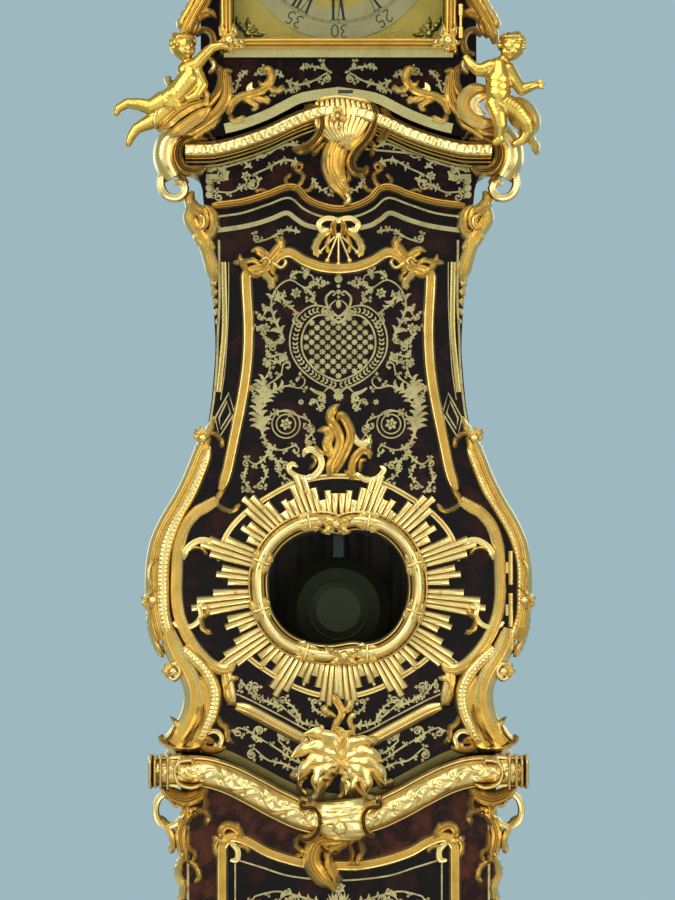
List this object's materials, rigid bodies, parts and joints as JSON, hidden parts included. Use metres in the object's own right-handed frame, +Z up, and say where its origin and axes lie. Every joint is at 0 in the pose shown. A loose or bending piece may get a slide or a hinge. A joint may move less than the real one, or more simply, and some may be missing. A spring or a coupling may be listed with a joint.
{
  "type": "longcase clock",
  "caption": "Weight-driven longcase clock with a violin-shaped shell-veneered trunk, gilt bronze mounts, a sunburst pendulum window and a lift-off hood.",
  "frame": {"origin": "on the floor under the middle of the clock's bounding box", "axes": "+Z up, the front faces -Y, +X to the right as seen from the front"},
  "size_m": [0.6, 0.3375, 2.2673],
  "materials": {
    "shell_veneer": "French-polished veneer, near black with red-brown patches",
    "plinth_veneer": "French-polished veneer, mottled red-brown",
    "oak": "waxed",
    "gilt_bronze": "fire-gilt, burnished on the high spots",
    "pale_brass": "engraved and polished",
    "works_brass": "brushed",
    "silvered_brass": "silvered, matt",
    "blued_steel": "blued",
    "steel": "filed",
    "glass": "clear",
    "gut": "twisted gut"
  },
  "bodies": {
    "case": {"plinth_carcase": "plinth_veneer", "plinth_base_and_feet": "gilt_bronze", "plinth_top_moulding": "gilt_bronze", "plinth_panel_frame": "gilt_bronze", "plinth_mounts": "gilt_bronze", "trunk_back_board": "oak", "trunk_left_side": "shell_veneer", "trunk_right_side": "shell_veneer", "trunk_front_surround": "shell_veneer", "inner_boards": "oak", "trunk_brass_strips": "pale_brass", "corner_mounts": "gilt_bronze", "bracket_moulding": "gilt_bronze", "cornice_moulding": "gilt_bronze", "cornice_mounts": "gilt_bronze", "case_hinge_knuckles": "works_brass", "dial_plate": "works_brass", "chapter_ring": "silvered_brass", "movement_frame": "works_brass", "back_cock": "works_brass", "bell": "works_brass"},
    "trunk_door": {"door_panel": "shell_veneer", "door_frame_moulding": "gilt_bronze", "lenticle_bezel": "gilt_bronze", "lenticle_glass": "glass", "sunburst_rays": "gilt_bronze", "flame_mount": "gilt_bronze", "floral_mount": "gilt_bronze", "door_hinge_knuckles": "works_brass", "door_lock": "steel"},
    "lock_bolt": {"lock_bolt": "steel"},
    "hood": {"hood_carcase": "shell_veneer", "hood_front_board": "shell_veneer", "hood_sill_strip": "pale_brass", "hood_side_scrolls": "gilt_bronze", "left_putto": "gilt_bronze", "right_putto": "gilt_bronze", "hood_pediment": "gilt_bronze", "hood_finial": "gilt_bronze", "dial_hinge_knuckles": "works_brass"},
    "dial_door": {"dial_door_frame": "gilt_bronze", "dial_glass": "glass"},
    "minute_hand": {"minute_hand": "blued_steel", "centre_wheel": "works_brass"},
    "hour_hand": {"hour_hand": "blued_steel"},
    "great_wheel": {"great_wheel": "works_brass"},
    "third_wheel": {"third_wheel": "works_brass"},
    "escape_wheel": {"escape_wheel": "works_brass"},
    "going_barrel": {"going_barrel": "works_brass"},
    "strike_barrel": {"strike_barrel": "works_brass"},
    "going_weight": {"going_weight": "works_brass", "going_line": "gut"},
    "strike_weight": {"strike_weight": "works_brass", "strike_line": "gut"},
    "pallets": {"pallets_and_crutch": "steel"},
    "pendulum": {"pendulum_rod": "steel", "pendulum_bob": "works_brass"},
    "rating_nut": {"rating_nut": "works_brass"},
    "strike_hammer": {"strike_hammer": "steel"}
  },
  "joints": [
    {"name": "trunk_door_hinge", "type": "hinge", "parent": "case", "child": "trunk_door", "pos_m": [0.2445, -0.101, 0.712], "axis": [0, 0, 1], "range_deg": [0, 100]},
    {"name": "lock_bolt_slide", "type": "slide", "parent": "trunk_door", "child": "lock_bolt", "axis": [-1, 0, 0], "range_m": [0, 0.018]},
    {"name": "hood_lift", "type": "slide", "parent": "case", "child": "hood", "axis": [0, 0, 1], "range_m": [0, 0.5]},
    {"name": "dial_door_hinge", "type": "hinge", "parent": "hood", "child": "dial_door", "pos_m": [0.1725, -0.1283, 1.602], "axis": [0, 0, 1], "range_deg": [0, 110]},
    {"name": "minute_turn", "type": "hinge", "parent": "case", "child": "minute_hand", "pos_m": [0, -0.09, 1.632], "axis": [0, 1, 0], "continuous": true},
    {"name": "hour_turn", "type": "hinge", "parent": "case", "child": "hour_hand", "pos_m": [0, -0.09, 1.632], "axis": [0, 1, 0], "continuous": true},
    {"name": "great_wheel_turn", "type": "hinge", "parent": "case", "child": "great_wheel", "pos_m": [0.0384, -0.05, 1.616], "axis": [0, 1, 0], "continuous": true},
    {"name": "third_wheel_turn", "type": "hinge", "parent": "case", "child": "third_wheel", "pos_m": [-0.01728, -0.04, 1.65504], "axis": [0, 1, 0], "continuous": true},
    {"name": "escape_wheel_turn", "type": "hinge", "parent": "case", "child": "escape_wheel", "pos_m": [0, -0.03, 1.66588], "axis": [0, 1, 0], "continuous": true},
    {"name": "going_weight_fall", "type": "slide", "parent": "case", "child": "going_weight", "axis": [0, 0, -1], "range_m": [0, 0.5], "deforming": ["going_line"]},
    {"name": "strike_weight_fall", "type": "slide", "parent": "case", "child": "strike_weight", "axis": [0, 0, -1], "range_m": [0, 0.5], "deforming": ["strike_line"]},
    {"name": "going_barrel_turn", "type": "hinge", "parent": "case", "child": "going_barrel", "pos_m": [0.0384, -0.04, 1.616], "axis": [0, 1, 0], "continuous": true},
    {"name": "strike_barrel_turn", "type": "hinge", "parent": "case", "child": "strike_barrel", "pos_m": [-0.0384, -0.04, 1.616], "axis": [0, 1, 0], "continuous": true},
    {"name": "pendulum_swing", "type": "hinge", "parent": "case", "child": "pendulum", "pos_m": [0, 0.0375, 1.6859], "axis": [0, 1, 0], "range_deg": [-3, 3]},
    {"name": "crutch_swing", "type": "hinge", "parent": "case", "child": "pallets", "pos_m": [0, 0.0375, 1.6859], "axis": [0, 1, 0], "range_deg": [-3, 3]},
    {"name": "rating_nut_turn", "type": "hinge", "parent": "pendulum", "child": "rating_nut", "pos_m": [0, 0.0375, 0.58], "axis": [0, 0, 1], "continuous": true},
    {"name": "hammer_lift", "type": "hinge", "parent": "case", "child": "strike_hammer", "pos_m": [-0.062, -0.03, 1.676], "axis": [0, -1, 0], "range_deg": [0, 12], "stiffness_Nm_per_rad": 0.05}
  ],
  "couplings": [
    {"joint": "hour_turn", "follows": "minute_turn", "ratio": 0.083333},
    {"joint": "great_wheel_turn", "follows": "minute_turn", "ratio": -0.083333},
    {"joint": "third_wheel_turn", "follows": "minute_turn", "ratio": -8},
    {"joint": "escape_wheel_turn", "follows": "minute_turn", "ratio": 60},
    {"joint": "going_barrel_turn", "follows": "going_weight_fall", "rad_per_m": -90.909},
    {"joint": "strike_barrel_turn", "follows": "strike_weight_fall", "rad_per_m": 90.909},
    {"joint": "crutch_swing", "follows": "pendulum_swing", "ratio": 1}
  ]
}
